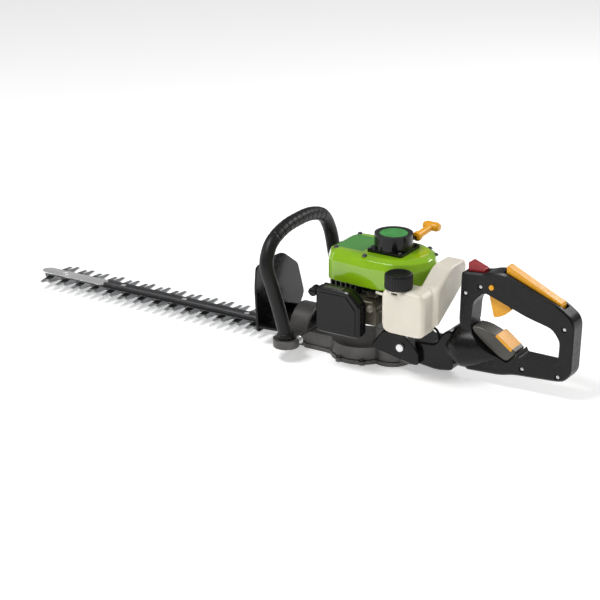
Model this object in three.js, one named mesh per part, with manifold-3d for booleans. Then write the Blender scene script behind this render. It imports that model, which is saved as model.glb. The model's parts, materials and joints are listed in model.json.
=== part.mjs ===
// Petrol hedge trimmer. Millimetres, +Z up.
// The origin lies on the resting plane, straight below the vertical crankshaft.
// -X points to the blade tip, +X to the rear handle, -Y to the air filter side.
import * as THREE from "three";
import { mergeVertices } from "three/addons/utils/BufferGeometryUtils.js";
import Module from "manifold-3d";

const wasm = await Module();
wasm.setup();

// ---------- clearances ----------
const GAP = 0.3; // between pieces that rest on each other
const RUN = 0.5; // between pieces that turn or slide past each other
const THROUGH = 2; // how far a cutter runs past the face that it cuts

// ---------- driving dimensions ----------
const blade = {
  thickness: 2.5, top: 20, toothPitch: 35, teeth: 14, halfWidth: 46.5, spineHalfWidth: 16,
  toothRoot: 8, toothTip: 3, lastTooth: -255.5, tipOverhang: 39.5, tail: -123, stroke: 17,
  pinHeight: 0.3,
};
const bar = { halfWidth: 9.5, height: 6.2, plate: 2, ridge: 4, rear: -166, boltRadius: 3 };
const tip = { rear: -612, front: -757, halfWidth: 13.5, thickness: 2.4 };
const boltPlaces = [-707, -573, -437, -301];
const boltHead = { radius: 5.4, height: 3.2 };

const gear = { module: 2, wheelTeeth: 48, pinionTeeth: 12, thickness: 5.2, backlash: 0.2 };
const eccentric = { radius: 18, height: 4.8 };
const driveRod = { length: 75, ring: 6, eye: 8, bore: 4.3, thickness: 3.8, armWidth: 10 };

const gearCase = {
  floor: 8, roof: 27.5, top: 31, wall: 3, noseFront: -215, noseHalfWidth: 24, cavityFront: -155,
};
const cover = { lip: 2.5, lug: 6.5 };
const clutch = {
  floor: 47, top: 66.7, drumRadius: 27, drumWall: 2.2, drumFloor: 2, hubRadius: 10,
  shoeGap: 1.2, wall: 2.5, shaftRadius: 6,
};

const engine = {
  bottom: 67, top: 149.5, radius: 33, cavityRadius: 26, crankHeight: 108, throw: 14,
  shaftRadius: 7, webRadius: 24, webThickness: 9, pinRadius: 5, rodThickness: 8, rodLength: 50,
};
const cylinder = {
  base: -40, head: -104, bore: 17, barrel: 25, fin: 37, fins: 6, finThickness: 2.6, flange: 5,
  roofThickness: 14, portHalf: 6,
};
const piston = { crown: 6, skirt: 27, wall: 2.2, clearance: 0.4, wristPin: 3.5 };
const plug = { thread: 5, hex: 9, hexLength: 8, insulator: 4.5, insulatorLength: 18 };
const flywheel = { bottom: 153, rim: 7, radius: 42, vanes: 12, vaneHeight: 15, vaneThickness: 2 };

const topCover = { bottom: 150, top: 204, wall: 2.5, shoulder: 18, slope: 14 };
const starter = {
  side: 68, plate: 4.7, radius: 33.5, top: 234.7, wall: 2.5, opening: 22, post: 6,
  reelRoom: 4, reelHeight: 12, reelBottom: 214,
};
starter.reelRadius = starter.radius - starter.wall - starter.reelRoom;
starter.ropeRadius = starter.reelRadius - 3;
const pull = { rope: 2, collar: 8.6, collarLength: 9, stem: 6.6, length: 56, bar: 8.2, barLength: 31 };

const filter = {
  left: -92, right: -5, bottom: 71, top: 153, face: -106, back: -86, wall: 2.2, plate: 3.7,
  chamfer: 22, corner: 9,
};
const carb = { left: -34, right: 13, bottom: 92, top: 134, inner: -44, duct: 5, ductX: -13 };
const primer = { radius: 7.5, height: 8, x: 2.5, z: 122, seat: 2, travel: 4 };
const choke = { x: -103, z: 137, radius: 8, height: 12, spindle: 3 };
const muffler = { left: -98, right: -44, inner: 38, outer: 82, bottom: 78, top: 138 };
const shieldWall = 2.5;

const tank = {
  left: 30, right: 113, near: -95, step: -48, bottom: 90, top: 170, wall: 2.5, corner: 17,
  rearLeft: 84, rear: 121, far: 42, rearTop: 198, neckRadius: 18, neckHeight: 9,
  capX: 56, capY: -80,
};
const fuelCap = { radius: 24.5, height: 27 };

const base = { outer: 40, inner: 34, body: 28, boltX: 39, boltZ: 45, boltRadius: 5 };
const swivel = {
  x: 145.2, z: 59, tilt: 8.5, radius: 38, spigot: 12, spigotLength: 18, gap: 0.6,
};
const grip = {
  half: 18, edge: 3, triggerHalf: 8, leverHalf: 9.5, switchHalf: 8.5, sideGap: 0.5,
};
const triggerPivot = { x: 192, z: 172, reach: 50, stub: 2.4 };
const lockButton = { x: 199.5, z: 179.1, radius: 4.5, proud: 2.5, inner: 10.5 };

const loop = {
  radius: 12.5, footX: -158, footY: 95, footZ: 40.6, cornerX: -193, cornerY: 107, topZ: 224,
};
const bracket = { front: -186, rear: -150, plate: 5, pad: 23, archRadius: 41, archRise: 41, band: 6 };
const guard = { plane: -237, thickness: 4, bottom: 24, flangeRear: -187, hoodRear: -188.5 };

// ---------- values worked out from the driving dimensions ----------
const upperBlade = { bottom: blade.top - blade.thickness, top: blade.top };
const lowerBlade = {
  bottom: upperBlade.bottom - GAP - blade.thickness,
  top: upperBlade.bottom - GAP,
};
const wheelRadius = (gear.module * gear.wheelTeeth) / 2;
const pinionRadius = (gear.module * gear.pinionTeeth) / 2;
const wheelX = -(wheelRadius + pinionRadius + gear.backlash);
const throwRadius = blade.stroke / 2;
const bladePinX = wheelX - Math.sqrt(driveRod.length ** 2 - throwRadius ** 2);
const barBottom = blade.top + GAP;
const wheelBottom = (upperBlade.top + lowerBlade.bottom - gear.thickness) / 2;
const wheelTop = wheelBottom + gear.thickness;
const rodReach = throwRadius * 2 + driveRod.eye + RUN * 2; // a rod keeps its direction as it circles
const caseRadius = wheelRadius + gear.module + gearCase.wall + RUN * 2;
const clutchRadius = clutch.drumRadius + RUN * 6 + clutch.wall;
const firstTooth = blade.lastTooth - (blade.teeth - 1) * blade.toothPitch;
const bladeFront = firstTooth - blade.tipOverhang;

// ---------- materials ----------
function finish(colour, roughness, metalness) {
  return new THREE.MeshStandardMaterial({ color: colour, roughness, metalness });
}
const steel = () => finish(0x8d9094, 0.38, 0.95);
const darkSteel = () => finish(0x4a4b4d, 0.5, 0.8);
const brightSteel = () => finish(0xc9cbcc, 0.25, 1);
const castAlloy = () => finish(0x77787a, 0.55, 0.7);
const blackPlastic = () => finish(0x1d1d1f, 0.5, 0);
const blackRubber = () => finish(0x242426, 0.75, 0);
const limePlastic = () => finish(0x7cc414, 0.16, 0);
const amberPlastic = () => finish(0xf2a31c, 0.4, 0);
const redPlastic = () => finish(0xb5212b, 0.35, 0);
const tankPlastic = () => finish(0xebe4d8, 0.45, 0);
const greyPlastic = () => finish(0x8a8583, 0.45, 0);
const foam = () => finish(0x303236, 0.95, 0);
const brass = () => finish(0xb98d3e, 0.35, 0.9);

// ---------- solid helpers ----------
const AXES = {
  x: new THREE.Matrix4().makeBasis(
    new THREE.Vector3(0, 1, 0), new THREE.Vector3(0, 0, 1), new THREE.Vector3(1, 0, 0),
  ),
  y: new THREE.Matrix4().makeBasis(
    new THREE.Vector3(1, 0, 0), new THREE.Vector3(0, 0, 1), new THREE.Vector3(0, -1, 0),
  ),
  z: new THREE.Matrix4(),
};

function solidOf(geometry) {
  const bare = geometry.index ? geometry.toNonIndexed() : geometry.clone();
  bare.deleteAttribute("normal");
  bare.deleteAttribute("uv");
  const merged = mergeVertices(bare, 1e-4);
  return new wasm.Manifold(new wasm.Mesh({
    numProp: 3,
    vertProperties: new Float32Array(merged.attributes.position.array),
    triVerts: new Uint32Array(merged.index.array),
  }));
}

// An outline from [a, b, cornerRadius] points; a corner with a radius is rounded.
function outline(points, radius = 0) {
  const shape = new THREE.Shape();
  const count = points.length;
  points.forEach(([a, b, own], i) => {
    const corner = new THREE.Vector2(a, b);
    const before = new THREE.Vector2(...points[(i + count - 1) % count].slice(0, 2));
    const after = new THREE.Vector2(...points[(i + 1) % count].slice(0, 2));
    const toBefore = before.clone().sub(corner);
    const toAfter = after.clone().sub(corner);
    const limit = Math.min(toBefore.length(), toAfter.length()) * 0.49;
    const cut = Math.min(own ?? radius, limit);
    const start = corner.clone().add(toBefore.setLength(cut));
    const end = corner.clone().add(toAfter.setLength(cut));
    if (i === 0) shape.moveTo(start.x, start.y);
    else shape.lineTo(start.x, start.y);
    if (cut > 0) shape.quadraticCurveTo(corner.x, corner.y, end.x, end.y);
  });
  shape.closePath();
  return shape;
}

// Extrudes an outline along an axis. Across x the outline holds (y, z), across y (x, z).
function extrude(shape, axis, from, to, { edge = 0, size = edge, curve = 3, rounds = 1 } = {}) {
  const geometry = new THREE.ExtrudeGeometry(shape, {
    depth: to - from - 2 * edge,
    bevelEnabled: edge > 0,
    bevelThickness: edge,
    bevelSize: size,
    bevelOffset: -size,
    bevelSegments: rounds,
    curveSegments: curve,
  });
  geometry.translate(0, 0, axis === "y" ? -to + edge : from + edge);
  geometry.applyMatrix4(AXES[axis]);
  return solidOf(geometry);
}

function block(x0, x1, y0, y1, z0, z1) {
  const geometry = new THREE.BoxGeometry(x1 - x0, y1 - y0, z1 - z0);
  geometry.translate((x0 + x1) / 2, (y0 + y1) / 2, (z0 + z1) / 2);
  return solidOf(geometry);
}

// A round bar along an axis; (a, b) is its centre in the other two axes, in x, y, z order.
function post(axis, radius, from, to, a = 0, b = 0, sides = 16, endRadius = radius) {
  const geometry = new THREE.CylinderGeometry(endRadius, radius, to - from, sides);
  const middle = (from + to) / 2;
  if (axis === "z") geometry.rotateX(Math.PI / 2).translate(a, b, middle);
  if (axis === "y") geometry.translate(a, middle, b);
  if (axis === "x") geometry.rotateZ(-Math.PI / 2).translate(middle, a, b);
  return solidOf(geometry);
}

// Turns a closed [radius, height] profile about Z, then places it with a matrix.
function turned(profile, sides = 24, place = new THREE.Matrix4()) {
  const points = profile.map(([r, z]) => new THREE.Vector2(r, z));
  const geometry = new THREE.LatheGeometry(points, sides);
  geometry.rotateX(Math.PI / 2);
  geometry.applyMatrix4(place);
  return solidOf(geometry);
}

function ring(outer, inner, bottom, top, sides = 24, place) {
  const profile = [[inner, bottom], [outer, bottom], [outer, top], [inner, top], [inner, bottom]];
  return turned(profile, sides, place);
}

function moved(x, y, z) {
  return new THREE.Matrix4().makeTranslation(x, y, z);
}

function tube(points, radius, sides = 8, step = 3 * radius) {
  const path = new THREE.CatmullRomCurve3(points.map((p) => new THREE.Vector3(...p)));
  const section = new THREE.Shape();
  section.absarc(0, 0, radius, 0, Math.PI * 2);
  const geometry = new THREE.ExtrudeGeometry(section, {
    extrudePath: path,
    steps: Math.max(4, Math.round(path.getLength() / step)),
    curveSegments: sides / 2,
  });
  return solidOf(geometry);
}

function joined(first, ...others) {
  return others.reduce((sum, solid) => sum.add(solid), first);
}

function cut(first, ...others) {
  return others.reduce((rest, solid) => rest.subtract(solid), first);
}

function mirroredY(points) {
  return [...points, ...points.map(([x, y, r]) => [x, -y, r]).reverse()];
}

function meshOf(name, solid, material) {
  const data = solid.getMesh();
  const geometry = new THREE.BufferGeometry();
  geometry.setAttribute("position", new THREE.BufferAttribute(data.vertProperties, 3));
  geometry.setIndex(new THREE.BufferAttribute(data.triVerts, 1));
  geometry.computeVertexNormals();
  const mesh = new THREE.Mesh(geometry, material);
  mesh.name = name;
  return mesh;
}

function assembly(pieces) {
  const made = new THREE.Group();
  for (const [name, solid, material] of pieces) made.add(meshOf(name, solid, material));
  return made;
}

// ---------- cutting gear ----------
// One side's teeth, as outline points from the front tooth to the rear one.
function toothLine(first, side) {
  const points = [];
  for (let i = 0; i < blade.teeth; i += 1) {
    const centre = first + i * blade.toothPitch;
    points.push([centre - blade.toothRoot, side * blade.spineHalfWidth]);
    points.push([centre - blade.toothTip, side * blade.halfWidth]);
    points.push([centre + blade.toothTip, side * blade.halfWidth]);
    points.push([centre + blade.toothRoot, side * blade.spineHalfWidth]);
  }
  return points;
}

function bladeBody(first, bottom, top) {
  const half = blade.spineHalfWidth;
  const nose = [[bladeFront, half - 9], [bladeFront + 9, half]];
  const points = mirroredY([...nose, ...toothLine(first, 1), [blade.tail, half]]);
  let body = extrude(outline(points), "z", bottom, top);
  const slotHalf = throwRadius + bar.boltRadius + RUN;
  const slotSide = bar.boltRadius + RUN;
  for (const x of boltPlaces) {
    body = body.subtract(block(
      x - slotHalf, x + slotHalf, -slotSide, slotSide, bottom - THROUGH, top + THROUGH,
    ));
  }
  return body;
}

function upperBladeSolid() {
  const body = bladeBody(firstTooth, upperBlade.bottom, upperBlade.top);
  const pinRadius = driveRod.bore - GAP;
  return body.add(post(
    "z", pinRadius, upperBlade.bottom, upperBlade.top + blade.pinHeight, bladePinX, 0, 16,
  ));
}

function lowerBladeSolid() {
  const first = firstTooth - blade.toothPitch / 2;
  const body = bladeBody(first, lowerBlade.bottom, lowerBlade.top);
  const pinRadius = driveRod.bore - GAP;
  return body.add(post(
    "z", pinRadius, lowerBlade.bottom - blade.pinHeight, lowerBlade.top, bladePinX, 0, 16,
  ));
}

function boltHoles(solid, places, bottom, top) {
  const radius = bar.boltRadius + GAP;
  return places.reduce((rest, x) => cut(rest, post("z", radius, bottom, top, x, 0, 16)), solid);
}

function guideBar() {
  const low = barBottom + bar.plate;
  const high = barBottom + bar.height;
  const half = bar.halfWidth;
  const valley = half - bar.ridge - 1.5;
  const section = outline([
    [-half, barBottom], [half, barBottom], [half, high - 1.5], [half - 1.5, high],
    [half - bar.ridge, high], [valley, low], [-valley, low], [bar.ridge - half, high],
    [1.5 - half, high], [-half, high - 1.5],
  ]);
  const body = extrude(section, "x", tip.rear + GAP, bar.rear);
  const places = boltPlaces.filter((x) => x > tip.rear);
  const seats = places.map((x) => post(
    "z", boltHead.radius + GAP, low, high + THROUGH, x, 0, 16,
  ));
  return boltHoles(cut(body, ...seats), places, barBottom - THROUGH, high + THROUGH);
}

function tipPlate() {
  const half = tip.halfWidth;
  const plan = outline([
    [tip.front, half - 8, 3], [tip.front + 10, half, 3], [tip.rear - 6, half, 2],
    [tip.rear, bar.halfWidth], [tip.rear, -bar.halfWidth], [tip.rear - 6, -half, 2],
    [tip.front + 10, -half, 3], [tip.front, 8 - half, 3],
  ]);
  const body = extrude(plan, "z", barBottom, barBottom + tip.thickness);
  const places = boltPlaces.filter((x) => x < tip.rear);
  return boltHoles(body, places, barBottom - THROUGH, barBottom + tip.thickness + THROUGH);
}

function bladeBolt(x) {
  const seat = barBottom + (x < tip.rear ? tip.thickness : bar.plate) + GAP;
  const nutTop = lowerBlade.bottom - GAP;
  const head = post("z", boltHead.radius, seat, seat + boltHead.height, x, 0, 6);
  const shank = post("z", bar.boltRadius, nutTop - 1, seat + 1, x, 0, 16);
  const nut = post("z", boltHead.radius, nutTop - boltHead.height, nutTop, x, 0, 6);
  return joined(shank, head, nut);
}

// ---------- reduction gear and drive rods ----------
function toothedWheel(teeth, bottom, top, x, phase) {
  const pitchRadius = (gear.module * teeth) / 2;
  const tipRadius = pitchRadius + 0.85 * gear.module;
  const rootRadius = pitchRadius - 1.2 * gear.module;
  const pitchAngle = (2 * Math.PI) / teeth;
  const flank = [[-0.27, rootRadius], [-0.11, tipRadius], [0.11, tipRadius], [0.27, rootRadius]];
  const points = [];
  for (let i = 0; i < teeth; i += 1) {
    for (const [share, radius] of flank) {
      const angle = (i + share + phase) * pitchAngle;
      points.push([x + radius * Math.cos(angle), radius * Math.sin(angle)]);
    }
  }
  return extrude(outline(points), "z", bottom, top);
}

function crankGear() {
  const wheel = toothedWheel(gear.wheelTeeth, wheelBottom, wheelTop, wheelX, 0);
  const upper = post(
    "z", eccentric.radius, wheelTop - 1, wheelTop + eccentric.height, wheelX, throwRadius, 24,
  );
  const lower = post(
    "z", eccentric.radius, wheelBottom - eccentric.height, wheelBottom + 1, wheelX,
    -throwRadius, 24,
  );
  const shaft = post("z", 7, gearCase.floor + RUN, gearCase.roof - RUN, wheelX, 0, 20);
  return joined(wheel, upper, lower, shaft);
}

// A rod from an eccentric to its blade pin. The side is +1 for the upper rod.
function driveRodSolid(side, bottom) {
  const top = bottom + driveRod.thickness;
  const bore = eccentric.radius + RUN;
  const outer = bore + driveRod.ring;
  const from = new THREE.Vector2(wheelX, side * throwRadius);
  const to = new THREE.Vector2(bladePinX, 0);
  const across = to.clone().sub(from).normalize();
  const normal = new THREE.Vector2(-across.y, across.x).multiplyScalar(driveRod.armWidth / 2);
  const start = from.clone().addScaledVector(across, bore + driveRod.ring / 2);
  const arm = outline([
    [start.x + normal.x, start.y + normal.y], [to.x + normal.x, to.y + normal.y],
    [to.x - normal.x, to.y - normal.y], [start.x - normal.x, start.y - normal.y],
  ]);
  const ringPart = ring(outer, bore, bottom, top, 32, moved(from.x, from.y, 0));
  const eye = post("z", driveRod.eye, bottom, top, to.x, to.y, 20);
  const hole = post("z", driveRod.bore, bottom - THROUGH, top + THROUGH, to.x, to.y, 16);
  return cut(joined(ringPart, extrude(arm, "z", bottom, top), eye), hole);
}

function clutchDrum() {
  const floor = clutch.floor + RUN * 4;
  const inner = clutch.drumRadius - clutch.drumWall;
  const rim = clutch.top - RUN * 3;
  const cup = turned([
    [0, floor], [clutch.drumRadius, floor], [clutch.drumRadius, rim], [inner, rim],
    [inner, floor + clutch.drumFloor], [0, floor + clutch.drumFloor],
  ]);
  const shaft = post("z", clutch.shaftRadius, wheelBottom - 2, floor + 1, 0, 0, 24);
  const pinion = toothedWheel(gear.pinionTeeth, wheelBottom - 0.8, wheelTop + 0.8, 0, 0.5);
  return joined(cup, shaft, pinion);
}

// ---------- gear case ----------
function casePlanSolid(bottom, top, grow) {
  const nose = gearCase.noseHalfWidth + grow;
  const rodRoom = rodReach + gearCase.wall + grow;
  const rodFront = gearCase.cavityFront - gearCase.wall - grow;
  return joined(
    post("z", caseRadius + grow, bottom, top, wheelX, 0, 28),
    post("z", clutchRadius + grow, bottom, top, 0, 0, 24),
    block(gearCase.noseFront, wheelX, -nose, nose, bottom, top),
    block(rodFront, wheelX, -rodRoom, rodRoom, bottom, top),
  );
}

function gearCaseSolid() {
  const lug = block(
    clutchRadius - 14, base.boltX + 10, -base.inner + 14, base.inner - 14, gearCase.floor, 54,
  );
  const outside = joined(
    casePlanSolid(gearCase.floor, gearCase.top, 0),
    post("z", clutchRadius, gearCase.floor, clutch.top, 0, 0, 24),
    lug,
  );
  const slotHalf = blade.spineHalfWidth + RUN;
  const grooveHalf = bar.halfWidth + GAP;
  const front = gearCase.noseFront - THROUGH;
  return cut(
    outside,
    post("z", caseRadius - gearCase.wall, gearCase.floor - 1, gearCase.roof, wheelX, 0, 28),
    post("z", pinionRadius + 5, gearCase.floor - 1, gearCase.roof, 0, 0, 24),
    block(gearCase.cavityFront, wheelX, -rodReach, rodReach, gearCase.floor - 1, gearCase.roof),
    block(front, wheelX, -slotHalf, slotHalf, lowerBlade.bottom - GAP * 2, barBottom),
    block(front, bar.rear + GAP, -grooveHalf, grooveHalf, blade.top, gearCase.top + THROUGH),
    post("z", clutch.shaftRadius + RUN, gearCase.floor, clutch.top, 0, 0, 24),
    post("z", clutchRadius - clutch.wall, clutch.floor, clutch.top + 1, 0, 0, 24),
    post("y", base.boltRadius + GAP, -base.outer, base.outer, base.boltX, base.boltZ, 16),
  );
}

function bottomCover() {
  const top = gearCase.floor - GAP;
  let plate = casePlanSolid(0, top, cover.lip);
  const reach = caseRadius + cover.lip;
  for (const degrees of [60, 105, 150, 210, 255, 300]) {
    const angle = (degrees * Math.PI) / 180;
    const x = wheelX + reach * Math.cos(angle);
    plate = plate.add(post("z", cover.lug, 1, top, x, reach * Math.sin(angle), 14));
  }
  const past = gearCase.noseFront - THROUGH;
  const nose = gearCase.noseHalfWidth + cover.lip + THROUGH;
  return cut(plate, block(past, gearCase.noseFront + 25, -nose, nose, -THROUGH, 3));
}

// ---------- clutch on the crankshaft ----------
function clutchHub() {
  const bottom = clutch.floor + 7;
  const arms = block(
    -clutch.drumRadius + 10, clutch.drumRadius - 10, -4, 4, bottom, clutch.top - 4,
  );
  const hub = joined(post("z", clutch.hubRadius, bottom, clutch.top - 4, 0, 0, 20), arms);
  return cut(hub, post("z", engine.shaftRadius + GAP, bottom - 1, clutch.top, 0, 0, 20));
}

function clutchShoe(side) {
  const outer = clutch.drumRadius - clutch.drumWall - clutch.shoeGap;
  const inner = clutch.hubRadius + RUN * 2;
  const bottom = clutch.floor + 7.5;
  const band = ring(outer, inner, bottom, clutch.top - 4.5, 24);
  const reach = outer + THROUGH;
  const low = side > 0 ? 4 + RUN * 2 : -reach;
  const high = side > 0 ? reach : -4 - RUN * 2;
  return band.intersect(block(-reach, reach, low, high, bottom - 1, clutch.top));
}

// ---------- engine ----------
const halfPlane = engine.rodThickness / 2;
const webGap = halfPlane + 3;

function crankshaft() {
  const mid = engine.crankHeight;
  const r = engine.shaftRadius;
  const upperWeb = mid + webGap;
  const lowerWeb = mid - webGap;
  return joined(
    post("z", r, clutch.floor + 6, lowerWeb, 0, 0, 20),
    post("z", engine.webRadius, lowerWeb - engine.webThickness, lowerWeb, 0, 0, 24),
    post("z", engine.pinRadius, lowerWeb - 1, upperWeb + 1, -engine.throw, 0, 16),
    post("z", engine.webRadius, upperWeb, upperWeb + engine.webThickness, 0, 0, 24),
    post("z", r, upperWeb, topCover.top - 3, 0, 0, 20),
  );
}

function crankcase() {
  const mid = engine.crankHeight;
  const cavityHalf = webGap + engine.webThickness + RUN * 3;
  const swing = engine.throw + engine.pinRadius + 1.5;
  const outside = joined(
    post("z", engine.radius, engine.bottom + GAP, engine.top, 0, 0, 24),
    block(cylinder.base + GAP, -10, -30, 30, mid - 23, mid + 23),
    block(-20, 16, carb.inner + 7, -20, mid - 18, mid + 18),
  );
  return cut(
    outside,
    post("z", engine.cavityRadius, mid - cavityHalf, mid + cavityHalf, 0, 0, 24),
    post("z", engine.shaftRadius + RUN, engine.bottom - 1, engine.top + 1, 0, 0, 20),
    block(
      cylinder.base - 1, -10, -swing, swing, mid - halfPlane - RUN * 3, mid + halfPlane + RUN * 3,
    ),
    post("y", carb.duct, carb.inner, -20, carb.ductX, mid, 16),
  );
}

function cylinderSolid() {
  const mid = engine.crankHeight;
  const half = cylinder.fin;
  const swing = engine.throw + engine.pinRadius + 1.5;
  const span = cylinder.base - cylinder.flange - cylinder.head;
  const pitch = span / cylinder.fins;
  let body = joined(
    post("x", cylinder.barrel, cylinder.head, cylinder.base, 0, mid, 20),
    block(cylinder.base - cylinder.flange, cylinder.base, -30, 30, mid - 23, mid + 23),
  );
  for (let i = 0; i < cylinder.fins; i += 1) {
    const x = cylinder.head + i * pitch;
    body = body.add(block(x, x + cylinder.finThickness, -half, half, mid - half, mid + half));
  }
  const boreEnd = cylinder.head + cylinder.roofThickness;
  const portX = cylinder.base - 25;
  const port = cylinder.portHalf;
  return cut(
    body,
    post("x", cylinder.bore, boreEnd, cylinder.base + 1, 0, mid, 20),
    post("x", plug.thread + RUN, cylinder.head - 1, boreEnd + 1, 0, mid, 16),
    block(
      cylinder.base - 32, cylinder.base + 1, -swing, swing, mid - halfPlane - RUN * 3,
      mid + halfPlane + RUN * 3,
    ),
    block(portX - port, portX + port, 0, half + 1, mid - port, mid + port),
  );
}

const wristX = -engine.throw - engine.rodLength;

function engineRod() {
  const mid = engine.crankHeight;
  const low = mid - halfPlane;
  const high = mid + halfPlane;
  const bore = engine.pinRadius + RUN;
  const body = joined(
    post("z", bore + 3.4, low, high, -engine.throw, 0, 20),
    block(wristX, -engine.throw - bore, -3.5, 3.5, low, high),
    post("z", engine.pinRadius, low, high, wristX, 0, 16),
  );
  return cut(body, post("z", bore, low - 1, high + 1, -engine.throw, 0, 16));
}

function pistonSolid() {
  const mid = engine.crankHeight;
  const radius = cylinder.bore - piston.clearance;
  const crownX = wristX - 16;
  const skirtX = crownX + piston.skirt;
  const shell = cut(
    post("x", radius, crownX, skirtX, 0, mid, 20),
    post("x", radius - piston.wall, crownX + piston.crown, skirtX + 1, 0, mid, 20),
  );
  const reach = Math.sqrt((radius - 1) ** 2 - piston.wristPin ** 2);
  const pin = post("z", piston.wristPin, mid - reach, mid + reach, wristX, 0, 14);
  const swing = halfPlane + RUN * 2;
  return cut(
    shell.add(pin),
    block(crownX + piston.crown + 1, skirtX + 1, -radius - 1, radius + 1, mid - swing, mid + swing),
  );
}

function flywheelSolid() {
  const top = flywheel.bottom + flywheel.rim;
  let wheel = joined(
    post("z", flywheel.radius, flywheel.bottom, top, 0, 0, 24),
    post("z", 13, flywheel.bottom, top + flywheel.vaneHeight, 0, 0, 20),
  );
  for (let i = 0; i < flywheel.vanes; i += 1) {
    const half = flywheel.vaneThickness / 2;
    const geometry = new THREE.BoxGeometry(flywheel.radius - 13, half * 2, flywheel.vaneHeight + 1);
    geometry.translate((flywheel.radius + 11) / 2, 0, top - 1 + (flywheel.vaneHeight + 1) / 2);
    geometry.rotateZ((i * 2 * Math.PI) / flywheel.vanes);
    wheel = wheel.add(solidOf(geometry));
  }
  const bore = engine.shaftRadius + GAP;
  return cut(wheel, post("z", bore, flywheel.bottom - 1, topCover.top, 0, 0, 20));
}

const coil = { inner: flywheel.radius + 1.6, outer: flywheel.radius + 15, half: 13, height: 17 };

function ignitionCoil() {
  const { inner, outer, half, height } = coil;
  const low = flywheel.bottom;
  const core = block(-half, half, inner + 3, outer, low, low + height);
  const leg = block(-half, -half + 6, inner, inner + 4, low + 1, low + 7);
  const otherLeg = block(half - 6, half, inner, inner + 4, low + 1, low + 7);
  return joined(core, leg, otherLeg);
}

function sparkPlug() {
  const mid = engine.crankHeight;
  const seat = cylinder.head - GAP;
  const hexFront = seat - plug.hexLength;
  return joined(
    post("x", plug.thread, seat - 1, cylinder.head + cylinder.roofThickness - 3, 0, mid, 16),
    post("x", plug.hex, hexFront, seat, 0, mid, 6),
    post("x", plug.insulator, hexFront - plug.insulatorLength, hexFront + 1, 0, mid, 16),
  );
}

function ignitionLead() {
  const mid = engine.crankHeight;
  const rear = cylinder.head - GAP - plug.hexLength - 3;
  const front = rear - plug.insulatorLength - 4;
  const boot = cut(
    post("x", 8.5, front, rear, 0, mid, 20),
    post("x", plug.insulator + GAP, rear - plug.insulatorLength + 2, rear + 1, 0, mid, 16),
  );
  const low = topCover.bottom - 4;
  const lead = tube([
    [front + 7, 7.7, mid], [front + 8, 20, mid + 4], [front + 16, 38, mid + 22],
    [topCoverLeft - 2, 46, low - 2], [topCoverLeft + 18, 47, low + 2],
    [topCoverLeft + 48, 49, flywheel.bottom + 5], [-coil.half - GAP, 51, flywheel.bottom + 9],
  ], 2.6, 8);
  return joined(boot, lead);
}

// ---------- exhaust ----------
function mufflerSolid() {
  const { left, right, inner, outer, bottom, top } = muffler;
  const body = extrude(outline([
    [left, bottom], [right, bottom], [right, top], [left, top],
  ], 9), "y", inner + GAP, outer, { edge: 3 });
  const outlet = post("x", 6, left - 9, left + 2, outer - 16, bottom + 16, 16);
  const hollow = post("x", 4, left - 10, left + 1, outer - 16, bottom + 16, 14);
  return cut(body.add(outlet), hollow);
}

function mufflerGuard() {
  const { left, right, bottom, top } = muffler;
  const space = shieldWall + RUN * 2;
  const near = muffler.inner + 16;
  const far = muffler.outer + space;
  const shape = (grow) => outline([
    [left - grow, bottom - grow], [right + grow, bottom - grow],
    [right + grow, top + grow], [left - grow, top + grow],
  ], 11);
  let shell = cut(
    extrude(shape(space), "y", near, far, { edge: 3 }),
    extrude(shape(RUN * 2), "y", near - 4, far - shieldWall, { edge: 2 }),
    post("x", 8, left - 12, left + 4, muffler.outer - 16, bottom + 16, 16),
  );
  for (let i = 0; i < 4; i += 1) {
    const z = bottom + 14 + i * 10;
    shell = shell.subtract(block(left + 12, right - 8, far - 5, far + 1, z, z + 4));
  }
  return shell;
}

// ---------- intake ----------
function filterOutline(inset) {
  const { left, right, bottom, top, chamfer, corner } = filter;
  return outline([
    [left + inset, bottom + inset, corner], [right - inset, bottom + inset, corner],
    [right - inset, top - chamfer - inset, 8],
    [right - chamfer - inset * 0.4, top - inset, 8],
    [left + inset, top - inset, 8],
  ]);
}

function filterCover() {
  return cut(
    extrude(filterOutline(0), "y", filter.face, filter.back, { edge: 3 }),
    extrude(filterOutline(filter.wall), "y", filter.face + filter.wall, filter.back + 5, {
      edge: 1.5,
    }),
  ).intersect(block(
    filter.left - 1, filter.right + 1, filter.face - 1, filter.back - 4, filter.bottom - 1,
    filter.top + 1,
  ));
}

function filterElement() {
  return extrude(
    filterOutline(filter.wall + 5), "y", filter.face + filter.wall + 3, filter.back - GAP,
  );
}

function filterBase() {
  const back = filter.back + filter.plate;
  const plate = extrude(filterOutline(1), "y", filter.back, back);
  const ear = post("y", choke.radius + 1, filter.back, back, choke.x, choke.z, 20);
  const arm = block(
    choke.x, filter.left + 10, filter.back, back, choke.z - choke.radius, choke.z + choke.radius,
  );
  return cut(
    joined(plate, ear, arm),
    post("y", choke.spindle + RUN, filter.back - 1, back + 1, choke.x, choke.z, 14),
    post("y", carb.duct, filter.back - 1, back + 1, carb.ductX, engine.crankHeight, 16),
  );
}

function chokeLever() {
  const front = filter.back - GAP - choke.height;
  const knob = post("y", choke.radius, front, filter.back - GAP, choke.x, choke.z, 20);
  const spindle = post(
    "y", choke.spindle, front, filter.back + filter.plate + 2, choke.x, choke.z, 14,
  );
  const pointer = block(
    choke.x - choke.radius + 1, choke.x + choke.radius - 1, front - 3, front + 1,
    choke.z - 1.8, choke.z + 1.8,
  );
  return joined(knob, spindle, pointer);
}

function intakeBlock() {
  const mid = engine.crankHeight;
  return cut(
    block(-20, 14, carb.inner + GAP, carb.inner + 7 - GAP, mid - 17, mid + 17),
    post("y", carb.duct, carb.inner - 1, carb.inner + 8, carb.ductX, mid, 16),
  );
}

const carbFront = filter.back + filter.plate + GAP;

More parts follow.
